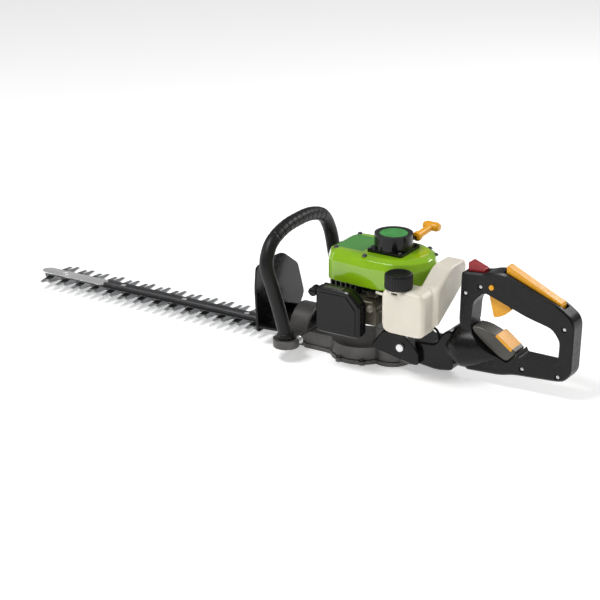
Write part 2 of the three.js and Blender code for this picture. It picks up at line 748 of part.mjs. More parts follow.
function carburettor() {
  const { left, right, bottom, top, inner } = carb;
  const body = extrude(outline([
    [left, bottom], [right, bottom], [right, top - 8], [right - 8, top], [left, top],
  ], 2), "y", carbFront, inner, { edge: 1.5 });
  const shaft = post("z", 3.2, top - 2, top + 9, -12, (carbFront + inner) / 2, 12);
  const lever = block(-16, 4, carbFront + 14, carbFront + 22, top + 3, top + 6);
  const screw = post("x", 2.6, right - 2, right + 9, carbFront + 12, top - 18, 10);
  const duct = post("y", carb.duct, carbFront - 1, inner + 1, carb.ductX, engine.crankHeight, 16);
  const well = post(
    "y", primer.radius + RUN, carbFront - 1, carbFront + primer.seat + primer.travel + RUN,
    primer.x, primer.z, 20,
  );
  return cut(joined(body, shaft, lever, screw), duct, well);
}

function primerBulb() {
  const { radius, height, x, z } = primer;
  const face = carbFront + primer.seat;
  const toFront = new THREE.Matrix4().makeRotationX(Math.PI / 2);
  toFront.setPosition(x, face, z);
  return turned([
    [0, 0], [radius, 0], [radius, 2], [radius - 1.2, height - 2.4], [radius - 4, height],
    [0, height],
  ], 20, toFront);
}

// ---------- fuel ----------
function tankBody(inset) {
  const t = tank;
  const near = extrude(outline([
    [t.left + inset, t.bottom + inset, t.corner], [t.right - inset, t.bottom + inset, t.corner],
    [t.right - inset, t.top - inset, t.corner], [t.left + inset, t.top - inset, t.corner],
  ]), "y", t.near + inset, t.step - inset, { edge: 5 });
  const rear = extrude(outline([
    [t.step - 14 + inset, t.bottom + 10 + inset], [-6, t.bottom + 42 + inset],
    [t.far - 3 - inset, t.bottom + 70 + inset], [t.far - inset, t.rearTop - inset],
    [-14 - inset, t.rearTop - inset], [t.step - 14 + inset, t.top - 3 - inset],
  ], 12), "x", t.rearLeft + inset, t.rear - inset, { edge: 4 });
  return joined(near, rear);
}

function fuelTank() {
  const top = tank.top + tank.neckHeight;
  const neck = post("z", tank.neckRadius, tank.top - 4, top, tank.capX, tank.capY, 24);
  const bore = post(
    "z", tank.neckRadius - tank.wall, tank.top - 8, top + 1, tank.capX, tank.capY, 24,
  );
  const hollow = tankBody(tank.wall);
  const room = coverEnvelope(2.2, topCover.bottom - 2, topCover.top);
  const shell = cut(joined(tankBody(0), neck), hollow, bore, room);
  const port = post(
    "x", lineRadius + RUN * 2, tank.left - 2, tank.left + 6, linePort.y, linePort.z, 10,
  );
  return cut(shell, port);
}

function fuelCapSolid() {
  const bottom = tank.top + GAP;
  const top = bottom + fuelCap.height;
  const inner = tank.neckRadius + RUN;
  const roof = tank.top + tank.neckHeight + RUN;
  return turned([
    [inner, bottom], [fuelCap.radius - 1, bottom], [fuelCap.radius, bottom + 3],
    [fuelCap.radius, top - 3], [fuelCap.radius - 3, top], [0, top], [0, roof], [inner, roof],
    [inner, bottom],
  ], 28, moved(tank.capX, tank.capY, 0));
}

const lineRadius = 2.4;
const linePort = { y: -72, z: 149 };
const strainer = { x: 62, y: -76, radius: 6, bottom: tank.bottom + 6, height: 20 };

function fuelLine() {
  const strainerTop = strainer.bottom + strainer.height + RUN;
  return tube([
    [-2, -51, carb.top + RUN], [-2, -51, carb.top + 4], [2, -60, 145], [9, -69, 148.5],
    [18, linePort.y, linePort.z], [tank.left, linePort.y, linePort.z],
    [42, linePort.y, linePort.z - 2], [56, -74, 138], [strainer.x, strainer.y, 126],
    [strainer.x, strainer.y, strainerTop],
  ], lineRadius, 8, 7);
}

function fuelStrainer() {
  const { x, y, radius, bottom, height } = strainer;
  return post("z", radius, bottom, bottom + height, x, y, 16);
}

// ---------- top cover and recoil starter ----------
const topCoverLeft = -110;

function coverPlan(grow) {
  const half = 65;
  return outline(mirroredY([
    [topCoverLeft - grow, 34 + grow * 0.5, 8], [-94 - grow * 0.6, half - 6 + grow, 10],
    [-20, half + grow, 10], [30, half - 2 + grow, 10], [62 + grow * 0.6, 45 + grow, 12],
    [80 + grow, 12, 10],
  ]));
}

function coverEnvelope(grow, bottom, top) {
  return extrude(coverPlan(grow), "z", bottom, top);
}

function topCoverSolid() {
  const { bottom, top, wall, shoulder, slope } = topCover;
  const hood = (inset, low, high) => extrude(coverPlan(-inset), "z", low, high, {
    edge: shoulder, size: slope, rounds: 2,
  });
  const shell = cut(
    hood(0, bottom - shoulder, top),
    coverEnvelope(5, bottom - shoulder - 5, bottom),
    hood(wall, bottom - shoulder - wall, top - wall),
    post("z", starter.opening, top - 12, top + 1, 0, 0, 20),
  );
  return shell;
}

function starterHousing() {
  const half = starter.side / 2;
  const low = topCover.top + GAP;
  const plateTop = low + starter.plate;
  const inner = starter.radius - starter.wall;
  const roof = starter.top - starter.wall;
  const body = joined(
    extrude(outline([[-half, -half], [half, -half], [half, half], [-half, half]], 5), "z", low,
      plateTop),
    post("z", starter.radius, low, starter.top, 0, 0, 28),
  );
  const hollow = cut(
    post("z", inner, plateTop - 2, roof, 0, 0, 28),
    post("z", starter.post, starter.reelBottom - 2, roof + 1, 0, 0, 20),
  );
  return cut(
    body,
    hollow,
    post("z", starter.opening, low - 1, plateTop, 0, 0, 20),
    post("y", pull.rope + 2, 8, starter.radius + 2, starter.ropeRadius, ropeZ, 14),
  );
}

const ropeZ = starter.reelBottom + starter.reelHeight / 2;

function starterReel() {
  const { reelRadius, ropeRadius, reelHeight, reelBottom } = starter;
  const top = reelBottom + reelHeight;
  const bore = starter.post + RUN;
  const groove = ropeRadius - pull.rope;
  return turned([
    [bore, reelBottom], [reelRadius, reelBottom], [reelRadius, reelBottom + 2],
    [groove, reelBottom + 3.4], [groove, top - 3.4], [reelRadius, top - 2], [reelRadius, top],
    [bore, top], [bore, reelBottom],
  ], 24);
}

// The flat return spring: a strip wound in a spiral.
function recoilSpring() {
  const bottom = starter.reelBottom + starter.reelHeight + RUN * 2;
  const top = starter.top - starter.wall - RUN;
  const turns = 3;
  const steps = 12;
  const start = starter.post + 3;
  const pitch = (starter.reelRadius - 1.8 - start) / turns;
  const outerSide = [];
  const innerSide = [];
  for (let i = 0; i <= turns * steps; i += 1) {
    const angle = (i * 2 * Math.PI) / steps;
    const radius = start + (i / steps) * pitch;
    outerSide.push([(radius + 0.6) * Math.cos(angle), (radius + 0.6) * Math.sin(angle)]);
    innerSide.push([(radius - 0.6) * Math.cos(angle), (radius - 0.6) * Math.sin(angle)]);
  }
  return extrude(outline([...outerSide, ...innerSide.reverse()]), "z", bottom, top);
}

const pullDirection = new THREE.Vector3(0.1, 0.985, 0.14).normalize();
const pullStart = new THREE.Vector3(starter.ropeRadius, starter.radius - 3, ropeZ);

function pullPoint(distance) {
  return pullStart.clone().addScaledVector(pullDirection, distance);
}

function pullRope() {
  const inside = [starter.ropeRadius, 13.5, ropeZ];
  return tube([inside, pullPoint(-2).toArray(), pullPoint(4 - GAP).toArray()], pull.rope, 8, 5);
}

function pullHandle() {
  const place = new THREE.Matrix4().makeRotationFromQuaternion(
    new THREE.Quaternion().setFromUnitVectors(new THREE.Vector3(0, 0, 1), pullDirection),
  );
  place.setPosition(pullPoint(4));
  const end = pull.length;
  const grippy = turned([
    [0, 0], [pull.collar - 1, 0], [pull.collar, 2], [pull.collar, pull.collarLength - 2],
    [pull.stem, pull.collarLength + 2], [pull.stem, end - 14], [pull.stem + 2.4, end - pull.bar],
    [0, end - pull.bar],
  ], 20, place);
  const middle = pullPoint(4 + end - pull.bar);
  const half = pull.barLength / 2;
  const crossbar = joined(
    post("x", pull.bar, middle.x - half + 5, middle.x + half - 5, middle.y, middle.z, 18),
    post("x", pull.bar - 2.6, middle.x - half, middle.x - half + 5, middle.y, middle.z, 18,
      pull.bar),
    post("x", pull.bar, middle.x + half - 5, middle.x + half, middle.y, middle.z, 18,
      pull.bar - 2.6),
  );
  return joined(grippy, crossbar);
}

// ---------- swivel mount ----------
const swivelTilt = (swivel.tilt * Math.PI) / 180;

// A matrix that turns +Z into the swivel axis, which points rearward and slightly up.
function swivelPlace(forward = 0) {
  const axis = new THREE.Vector3(Math.cos(swivelTilt), 0, Math.sin(swivelTilt));
  const matrix = new THREE.Matrix4().makeRotationFromQuaternion(
    new THREE.Quaternion().setFromUnitVectors(new THREE.Vector3(0, 0, 1), axis),
  );
  return matrix.setPosition(
    swivel.x + axis.x * forward, 0, swivel.z + axis.z * forward,
  );
}

function swivelBase() {
  const { outer, inner, body } = base;
  const cheek = outline([
    [-22, 35], [60, 17], [74, 18], [72, 44], [46, 68], [4, 70],
  ], 7);
  const spine = outline([
    [clutchRadius + 18, 18], [102, 12], [134, 17], [130, 92], [112, 82], [100, 59],
    [clutchRadius + 18, 57],
  ], 9);
  const cheeks = cut(
    extrude(cheek, "y", -outer, outer, { edge: 2 }),
    block(-30, clutchRadius + 22, -inner, inner, 0, 90),
  );
  const dome = turned([
    [0, -40], [14, -38], [27, -28], [34, -16], [swivel.radius, -7], [swivel.radius, 0],
    [0, 0],
  ], 24, swivelPlace());
  const spigot = turned([
    [0, -4], [swivel.spigot, -4], [swivel.spigot, swivel.spigotLength],
    [0, swivel.spigotLength],
  ], 16, swivelPlace());
  const hole = post(
    "y", base.boltRadius + GAP, -outer - 1, outer + 1, base.boltX, base.boltZ, 16,
  );
  const cableHole = tube([...cableEntry, [95, 0, 50]], cable + RUN * 2, 8, 8);
  const lugRoom = block(20, base.boltX + 10 + RUN, -inner, inner, 0, 56);
  return cut(
    joined(cheeks, extrude(spine, "y", -body, body, { edge: 3 }), dome, spigot),
    hole, lugRoom, cableHole,
  );
}

function baseBolt() {
  const { outer, boltX, boltZ, boltRadius } = base;
  return joined(
    post("y", boltRadius, -outer - 1, outer + 1, boltX, boltZ, 16),
    post("y", boltRadius + 1.8, -outer - 4.5, -outer - GAP, boltX, boltZ, 16),
    post("y", boltRadius + 2.2, outer + GAP, outer + 5, boltX, boltZ, 6),
  );
}

const cable = 2.4;
const cableEntry = [[80, -8, 82], [90, 0, 71], [93, 0, 60]];

function throttleCable() {
  return tube([
    [carb.right + 3.5, -54, 118], [carb.right + 9, -50, 106], [22, -43, 88], [40, -37, 80],
    [62, -24, 80], ...cableEntry,
  ], cable, 8, 8);
}

// ---------- rear handle ----------
const handleOutline = [
  [152, 21, 6], [220, 24, 14], [242, 30, 14], [323, 35, 6], [338, 38, 8], [350, 53, 8],
  [353.5, 139, 8], [348, 152, 10], [324, 168.5, 8], [222, 208, 8], [201, 206, 8], [184, 200, 6],
  [141, 196.5, 7], [138, 107, 8], [140.5, 96, 6],
];
const windowOutline = [
  [186, 167.5, 8], [165, 148, 10], [162, 107, 2], [180, 106.5, 8], [206, 99, 12], [250, 75, 2],
  [254, 64.5, 3], [326, 64.2, 8], [328.5, 108.5, 8], [314, 128, 10], [266, 139.5, 10],
];
const releaseOutline = [
  [163, 103, 5], [182, 103, 8], [205, 96, 12], [249, 71, 6], [231, 51, 7],
  [214, 57.5, 12], [187, 75, 12], [166, 93, 6],
];
const releaseRoom = [
  [160.5, 108, 1], [180, 108, 2], [206, 100, 4], [252, 74, 1], [246.5, 64.5, 2], [231.5, 49, 4],
  [214, 55.5, 12], [186, 73, 14], [163.5, 93, 4],
];

function handleBody() {
  const half = grip.half;
  const frame = extrude(outline(handleOutline), "y", -half, half, {
    edge: grip.edge, curve: 3,
  });
  const bulge = turned([
    [0, swivel.gap], [swivel.radius, swivel.gap], [swivel.radius, 7], [swivel.radius - 2, 24],
    [swivel.radius - 9, 48], [half - 2, 86], [0, 92],
  ], 24, swivelPlace());
  const leverRoom = outline([
    [216, 186], [216, 232], [332, 190], [331, 157], [312, 153],
  ]);
  const triggerRoom = outline([
    [181, 150], [181, 183], [252, 183], [262, 168], [254, 132], [200, 132],
  ]);
  const leverSide = grip.leverHalf + grip.sideGap;
  const triggerSide = grip.triggerHalf + grip.sideGap;
  const switchSide = grip.switchHalf + grip.sideGap;
  const wide = half + swivel.radius;
  const plane = turned([[0, -60], [160, -60], [160, swivel.gap], [0, swivel.gap]], 12,
    swivelPlace());
  return cut(
    joined(frame, bulge),
    plane,
    extrude(outline(windowOutline), "y", -wide, wide),
    extrude(outline(releaseRoom), "y", -wide, wide),
    extrude(leverRoom, "y", -leverSide, leverSide),
    extrude(triggerRoom, "y", -triggerSide, triggerSide),
    block(146.5, 184.5, -switchSide, switchSide, 185, 215),
    post("y", triggerPivot.stub + GAP, -13, 13, triggerPivot.x, triggerPivot.z, 14),
    post("y", leverPin.stub + GAP, -14, 14, leverPin.x, leverPin.z, 14),
    turned([[0, -2], [swivel.spigot + RUN, -2], [swivel.spigot + RUN, swivel.spigotLength + 1],
      [0, swivel.spigotLength + 1]], 16, swivelPlace()),
  );
}

function handleHalves() {
  const body = handleBody();
  const wide = grip.half + swivel.radius;
  const left = cut(
    body.intersect(block(100, 400, -wide, -GAP / 2, 0, 260)),
    post("y", lockButton.radius + GAP, -grip.half - 1, -6, lockButton.x, lockButton.z, 18),
  );
  const right = body.intersect(block(100, 400, GAP / 2, wide, 0, 260));
  return [left, right];
}

function stopSwitch() {
  return extrude(outline([
    [150, 190, 1], [150, 212, 1], [154, 213.5, 1], [180.5, 203.5, 1], [180.5, 190, 1],
  ]), "y", -grip.switchHalf, grip.switchHalf);
}

const leverPin = { x: 320, z: 163.5, stub: 2.2 };

function lockoutLever() {
  const shape = outline([
    [222, 197], [221.5, 220], [326, 171], [325, 157], [312, 158],
  ], 4);
  const pin = post("y", leverPin.stub, -13, 13, leverPin.x, leverPin.z, 12);
  return extrude(shape, "y", -grip.leverHalf, grip.leverHalf, { edge: 1.2 }).add(pin);
}

function throttleTrigger() {
  const { x, z, reach, stub } = triggerPivot;
  const rim = [-81, -72, -63, -54, -45, -36].map((degrees) => {
    const angle = (degrees * Math.PI) / 180;
    return [x + reach * Math.cos(angle), z + reach * Math.sin(angle)];
  });
  const shape = outline([[x - 6, z + 4, 2], ...rim, [x + 6, z + 5, 2]]);
  const pin = post("y", stub, -12, 12, x, z, 12);
  return extrude(shape, "y", -grip.triggerHalf, grip.triggerHalf).add(pin);
}

function lockButtonSolid() {
  const { x, z, radius, proud, inner } = lockButton;
  return post("y", radius, -grip.half - proud, -inner, x, z, 18);
}

function swivelRelease() {
  return extrude(outline(releaseOutline), "y", -grip.half + 1, grip.half - 1, { edge: 1.6 });
}

// ---------- front handle, bracket and guard ----------
function frontHandle() {
  const { radius, footX, footY, footZ, cornerX, cornerY, topZ } = loop;
  const rise = topZ - footZ;
  const lean = (share) => footX + (cornerX - footX) * share;
  const side = [
    [lean(0), footY, footZ], [lean(0.3), footY + 4, footZ + rise * 0.25],
    [lean(0.65), footY + 9, footZ + rise * 0.5], [lean(0.92), cornerY, footZ + rise * 0.7],
    [lean(1), cornerY - 12, topZ - 28], [lean(1), cornerY - 32, topZ - 12],
    [lean(1), cornerY - 68, topZ - 2],
  ];
  const other = side.map(([x, y, z]) => [x, -y, z]).reverse();
  return tube([...side, [lean(1), 0, topZ], ...other], radius, 12, 12).intersect(
    block(-260, 0, -200, 200, footZ, 300),
  );
}

function handleBracket() {
  const { front, rear, plate, pad, archRadius, archRise, band } = bracket;
  const low = gearCase.top + GAP;
  const top = loop.footZ - GAP;
  const arch = (radius, rise) => {
    const points = [];
    for (let i = 0; i <= 10; i += 1) {
      const angle = (i * Math.PI) / 10;
      points.push([radius * Math.cos(angle), low + rise * Math.sin(angle)]);
    }
    return points;
  };
  const portal = cut(
    extrude(outline(arch(archRadius, archRise)), "x", front, rear),
    extrude(outline([...arch(archRadius - band, archRise - band)]), "x", front - 1, rear + 1),
  );
  const bridge = block(front, rear, -loop.footY, loop.footY, low, low + plate);
  const pads = [-1, 1].map((side) => post(
    "z", pad, low - 6, top, loop.footX, side * loop.footY, 24,
  ));
  return joined(bridge, portal, ...pads);
}

function handGuard() {
  const { plane, thickness, bottom, flangeRear, hoodRear } = guard;
  const low = gearCase.top + GAP;
  const shape = outline([
    [-64, bottom, 4], [70, bottom, 4], [90, 52, 8], [68, 114, 8], [20, 148, 8], [-30, 152, 8],
    [-67, 146, 6], [-71, 107, 10],
  ]);
  const plate = extrude(shape, "x", plane - thickness / 2, plane + thickness / 2);
  const flange = extrude(outline([
    [plane, -64, 3], [flangeRear, -58, 8], [flangeRear, 58, 8], [plane, 70, 3],
  ]), "z", low, low + 4);
  const hoodLow = low + 2;
  const hood = (radius, rise) => {
    const points = [];
    for (let i = 0; i <= 10; i += 1) {
      const angle = (i * Math.PI) / 10;
      points.push([radius * Math.cos(angle), hoodLow + rise * Math.sin(angle)]);
    }
    return outline(points);
  };
  const tunnel = cut(
    extrude(hood(44, 28), "x", plane, hoodRear),
    extrude(hood(41, 37), "x", plane + 5, hoodRear + 1),
  );
  const bladeRoom = block(
    plane - 10, plane + 10, -gearCase.noseHalfWidth, gearCase.noseHalfWidth, 0, low,
  );
  return cut(joined(plate, flange, tunnel), bladeRoom);
}

// ---------- the whole machine ----------
const upperRodBottom = upperBlade.top + 2 * GAP;
const lowerRodBottom = lowerBlade.bottom - 2 * GAP - driveRod.thickness;
const [handleLeft, handleRight] = handleHalves();

const cuttingGear = assembly([
  ["upper_blade", upperBladeSolid(), steel()],
  ["lower_blade", lowerBladeSolid(), steel()],
  ["guide_bar", guideBar(), darkSteel()],
  ["tip_plate", tipPlate(), brightSteel()],
  ...boltPlaces.map((x, i) => [`blade_bolt_${i + 1}`, bladeBolt(x), brightSteel()]),
]);

const transmission = assembly([
  ["gear_case", gearCaseSolid(), castAlloy()],
  ["bottom_cover", bottomCover(), castAlloy()],
  ["crank_gear", crankGear(), steel()],
  ["upper_rod", driveRodSolid(1, upperRodBottom), steel()],
  ["lower_rod", driveRodSolid(-1, lowerRodBottom), steel()],
  ["clutch_drum", clutchDrum(), steel()],
  ["clutch_hub", clutchHub(), darkSteel()],
  ["clutch_shoe_a", clutchShoe(1), darkSteel()],
  ["clutch_shoe_b", clutchShoe(-1), darkSteel()],
]);

const powerUnit = assembly([
  ["crankcase", crankcase(), castAlloy()],
  ["cylinder", cylinderSolid(), castAlloy()],
  ["crankshaft", crankshaft(), steel()],
  ["engine_rod", engineRod(), steel()],
  ["piston", pistonSolid(), castAlloy()],
  ["flywheel", flywheelSolid(), castAlloy()],
  ["ignition_coil", ignitionCoil(), blackPlastic()],
  ["spark_plug", sparkPlug(), brightSteel()],
  ["ignition_lead", ignitionLead(), blackRubber()],
  ["muffler", mufflerSolid(), darkSteel()],
  ["muffler_guard", mufflerGuard(), blackPlastic()],
  ["intake_block", intakeBlock(), blackPlastic()],
  ["carburettor", carburettor(), brass()],
  ["primer_bulb", primerBulb(), tankPlastic()],
  ["filter_base", filterBase(), blackPlastic()],
  ["filter_element", filterElement(), foam()],
  ["filter_cover", filterCover(), blackPlastic()],
  ["choke_knob", chokeLever(), blackPlastic()],
  ["top_cover", topCoverSolid(), limePlastic()],
]);

const starterUnit = assembly([
  ["starter_housing", starterHousing(), blackPlastic()],
  ["starter_reel", starterReel(), blackPlastic()],
  ["recoil_spring", recoilSpring(), steel()],
  ["pull_rope", pullRope(), blackRubber()],
  ["pull_handle", pullHandle(), amberPlastic()],
]);

const fuelSystem = assembly([
  ["fuel_tank", fuelTank(), tankPlastic()],
  ["fuel_cap", fuelCapSolid(), blackPlastic()],
  ["fuel_line", fuelLine(), tankPlastic()],
  ["fuel_strainer", fuelStrainer(), brass()],
]);

const handles = assembly([
  ["swivel_base", swivelBase(), blackPlastic()],
  ["base_bolt", baseBolt(), brightSteel()],
  ["throttle_cable", throttleCable(), blackRubber()],
  ["handle_left", handleLeft, blackPlastic()],
  ["handle_right", handleRight, blackPlastic()],
  ["stop_switch", stopSwitch(), redPlastic()],
  ["lockout_lever", lockoutLever(), amberPlastic()],
  ["throttle_trigger", throttleTrigger(), amberPlastic()],
  ["lock_button", lockButtonSolid(), amberPlastic()],
  ["swivel_release", swivelRelease(), greyPlastic()],
  ["front_handle", frontHandle(), blackRubber()],
  ["handle_bracket", handleBracket(), castAlloy()],
  ["hand_guard", handGuard(), blackPlastic()],
]);

const trimmer = new THREE.Group();
trimmer.add(cuttingGear, transmission, powerUnit, starterUnit, fuelSystem, handles);

export default trimmer;
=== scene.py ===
"""Petrol hedge trimmer: what it looks like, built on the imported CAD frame. Metres, +Z up."""
import json
import math
import bmesh
import bpy
from mathutils import Matrix, Vector
from mathutils.bvhtree import BVHTree


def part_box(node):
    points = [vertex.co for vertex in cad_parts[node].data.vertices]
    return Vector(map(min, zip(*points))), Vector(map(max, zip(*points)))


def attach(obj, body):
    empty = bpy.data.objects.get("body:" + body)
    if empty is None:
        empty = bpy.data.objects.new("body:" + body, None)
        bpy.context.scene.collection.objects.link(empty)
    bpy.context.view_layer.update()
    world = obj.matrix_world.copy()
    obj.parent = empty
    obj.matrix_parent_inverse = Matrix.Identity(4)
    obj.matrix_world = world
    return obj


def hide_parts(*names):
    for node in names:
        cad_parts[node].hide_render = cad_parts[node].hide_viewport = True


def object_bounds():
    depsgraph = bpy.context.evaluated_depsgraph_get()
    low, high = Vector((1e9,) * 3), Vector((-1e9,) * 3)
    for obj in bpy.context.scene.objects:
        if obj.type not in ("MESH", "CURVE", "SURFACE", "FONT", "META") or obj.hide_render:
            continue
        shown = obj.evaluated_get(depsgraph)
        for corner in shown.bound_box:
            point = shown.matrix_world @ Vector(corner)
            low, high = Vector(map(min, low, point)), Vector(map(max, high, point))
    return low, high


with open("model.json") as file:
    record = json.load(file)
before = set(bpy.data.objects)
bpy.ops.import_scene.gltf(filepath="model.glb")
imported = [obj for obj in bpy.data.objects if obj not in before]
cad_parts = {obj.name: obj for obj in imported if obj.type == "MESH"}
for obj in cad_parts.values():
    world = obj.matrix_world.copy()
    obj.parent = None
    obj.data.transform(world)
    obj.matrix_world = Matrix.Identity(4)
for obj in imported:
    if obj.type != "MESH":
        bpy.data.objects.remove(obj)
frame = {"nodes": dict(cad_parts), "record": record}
CAD_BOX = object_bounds()
NODES = frame["nodes"]
RECORD = frame["record"]
BODY_OF = {n: b for b, ns in RECORD["behaviour"]["bodies"].items() for n in ns}
SLOT_OF = {s["node"]: s["material_slot"] for s in RECORD["subparts"]}
MM = 0.001


# ---------- camera, floor and light ----------
def aim(obj, target):
    obj.rotation_euler = (Vector(target) - obj.location).to_track_quat("-Z", "Y").to_euler()


def make_camera():
    data = bpy.data.cameras.new("camera")
    data.lens = 150
    data.sensor_width = 36
    camera = bpy.data.objects.new("camera", data)
    bpy.context.collection.objects.link(camera)
    camera.location = (1.9878, -3.5101, 1.6479)
    aim(camera, (-0.1886, 0, 0.07325))
    bpy.context.scene.camera = camera


def area_light(name, place, target, size, power):
    data = bpy.data.lights.new(name, "AREA")
    data.shape = "RECTANGLE"
    data.size, data.size_y = size
    data.energy = power
    light = bpy.data.objects.new(name, data)
    bpy.context.collection.objects.link(light)
    light.location = place
    aim(light, target)


def make_studio():
    world = bpy.data.worlds.new("studio")
    world.use_nodes = True
    world.node_tree.nodes["Background"].inputs[0].default_value = (1, 1, 1, 1)
    world.node_tree.nodes["Background"].inputs[1].default_value = 0.24
    bpy.context.scene.world = world
    bpy.context.scene.view_settings.view_transform = "Standard"
    area_light("key", (-0.6, -1.2, 2.4), (-0.05, 0, 0.1), (1.2, 0.6), 40)
    area_light("rim", (0.9, 1.6, 1.5), (0, 0, 0.12), (1.4, 0.4), 22)
    area_light("left_fill", (-2.2, -1.0, 0.9), (-0.3, 0, 0.1), (0.8, 1.2), 9)
    bm = bmesh.new()
    bmesh.ops.create_grid(bm, x_segments=8, y_segments=8, size=6)
    floor = add_mesh("floor", bm)
    floor.location.z = CAD_BOX[0].z - 0.0005
    paper = surface("floor_paper", (0.94, 0.94, 0.94), 0.9, vary=0.0, bump=0.0)
    shader = paper.node_tree.nodes["Principled BSDF"]
    shader.inputs["Emission Color"].default_value = (1, 1, 1, 1)
    shader.inputs["Emission Strength"].default_value = 0.42
    floor.data.materials.append(paper)


# ---------- procedural materials ----------
def _noise(tree, coord, scale, detail=3):
    noise = tree.nodes.new("ShaderNodeTexNoise")
    noise.inputs["Scale"].default_value = scale
    noise.inputs["Detail"].default_value = detail
    tree.links.new(coord, noise.inputs["Vector"])
    return noise.outputs["Fac"]


def _range(tree, value, low, high, start=0.3, end=0.7):
    node = tree.nodes.new("ShaderNodeMapRange")
    for i, number in ((1, start), (2, end), (3, low), (4, high)):
        node.inputs[i].default_value = number
    tree.links.new(value, node.inputs[0])
    return node.outputs[0]


def _mix(tree, factor, a, b):
    node = tree.nodes.new("ShaderNodeMix")
    node.data_type = "RGBA"
    tree.links.new(factor, node.inputs[0])
    for socket, colour in ((node.inputs[6], a), (node.inputs[7], b)):
        if isinstance(colour, tuple):
            socket.default_value = (*colour, 1)
        else:
            tree.links.new(colour, socket)
    return node.outputs[2]


def _edges(tree, radius):
    """1 on a worn outer edge, 0 on a flat."""
    bevel = tree.nodes.new("ShaderNodeBevel")
    bevel.samples = 4
    bevel.inputs[0].default_value = radius
    geometry = tree.nodes.new("ShaderNodeNewGeometry")
    dot = tree.nodes.new("ShaderNodeVectorMath")
    dot.operation = "DOT_PRODUCT"
    tree.links.new(bevel.outputs[0], dot.inputs[0])
    tree.links.new(geometry.outputs["Normal"], dot.inputs[1])
    return _range(tree, dot.outputs["Value"], 1, 0, 0.72, 0.93)


def _math(tree, kind, a, b=None):
    node = tree.nodes.new("ShaderNodeMath")
    node.operation = kind
    for socket, value in zip(node.inputs, (a, b)):
        if isinstance(value, (int, float)):
            socket.default_value = value
        elif value is not None:
            tree.links.new(value, socket)
    return node.outputs[0]


def _inside(tree, place, masks):
    """1 where every mask holds: (axis, kind, low, high), kind plain, abs, or a repeat's pitch."""
    split = tree.nodes.new("ShaderNodeSeparateXYZ")
    tree.links.new(place, split.inputs[0])
    result = None
    for axis, kind, low, high in masks:
        value = split.outputs[axis]
        if kind == "abs":
            value = _math(tree, "ABSOLUTE", value)
        elif kind != "plain":
            value = _math(tree, "FLOORED_MODULO", value, kind)
        soft = 0.0004
        mask = _math(tree, "MULTIPLY", _range(tree, value, 0, 1, low - soft, low + soft),
                     _range(tree, value, 1, 0, high - soft, high + soft))
        result = mask if result is None else _math(tree, "MULTIPLY", result, mask)
    return result


def surface(name, colour, rough, metal=0.0, vary=0.12, blotch=35, grain=1400, bump=0.12,
            stretch=(1, 1, 1), coat=0.0, wear=None, wear_amount=0.4, cloudy=0.0, specular=0.5,
            patches=()):
    """A material with mottled colour and roughness, fine grain, and lighter worn edges."""
    material = bpy.data.materials.new("look_" + name)
    material.use_nodes = True
    tree = material.node_tree
    shader = tree.nodes["Principled BSDF"]
    coords = tree.nodes.new("ShaderNodeTexCoord")
    mapping = tree.nodes.new("ShaderNodeMapping")
    mapping.inputs["Scale"].default_value = stretch
    tree.links.new(coords.outputs["Object"], mapping.inputs[0])
    place = mapping.outputs[0]
    blotches = _noise(tree, place, blotch)
    dark = tuple(c * (1 - vary) for c in colour)
    light = tuple(min(c * (1 + vary), 1) for c in colour)
    base = _mix(tree, _range(tree, blotches, 0, 1), dark, light)
    for colour_there, masks in patches:
        base = _mix(tree, _inside(tree, coords.outputs["Object"], masks), base, colour_there)
    if wear:
        amount = _edges(tree, 0.0012)
        scaled = _range(tree, amount, 0, wear_amount, 0, 1)
        base = _mix(tree, scaled, base, wear)
    tree.links.new(base, shader.inputs["Base Color"])
    fine = _noise(tree, place, grain, 2)
    rough_low, rough_high = max(rough - 0.07, 0.03), min(rough + 0.07, 1)
    tree.links.new(_range(tree, _noise(tree, place, blotch * 4), rough_low, rough_high),
                   shader.inputs["Roughness"])
    ripple = tree.nodes.new("ShaderNodeBump")
    ripple.inputs["Strength"].default_value = bump
    ripple.inputs["Distance"].default_value = 0.0004
    tree.links.new(fine, ripple.inputs["Height"])
    tree.links.new(ripple.outputs[0], shader.inputs["Normal"])
    shader.inputs["Metallic"].default_value = metal
    shader.inputs["Specular IOR Level"].default_value = specular
    shader.inputs["Coat Weight"].default_value = coat
    shader.inputs["Coat Roughness"].default_value = 0.06
    if cloudy:
        shader.inputs["Subsurface Weight"].default_value = cloudy
        shader.inputs["Subsurface Radius"].default_value = (1.0, 0.9, 0.75)
        shader.inputs["Subsurface Scale"].default_value = 0.006
    return material


def plastic(name, colour, rough, **more):
    return surface(name, colour, rough, **more)


def steel(name, colour, rough, **more):
    return surface(name, colour, rough, metal=more.pop("metal", 0.9), **more)


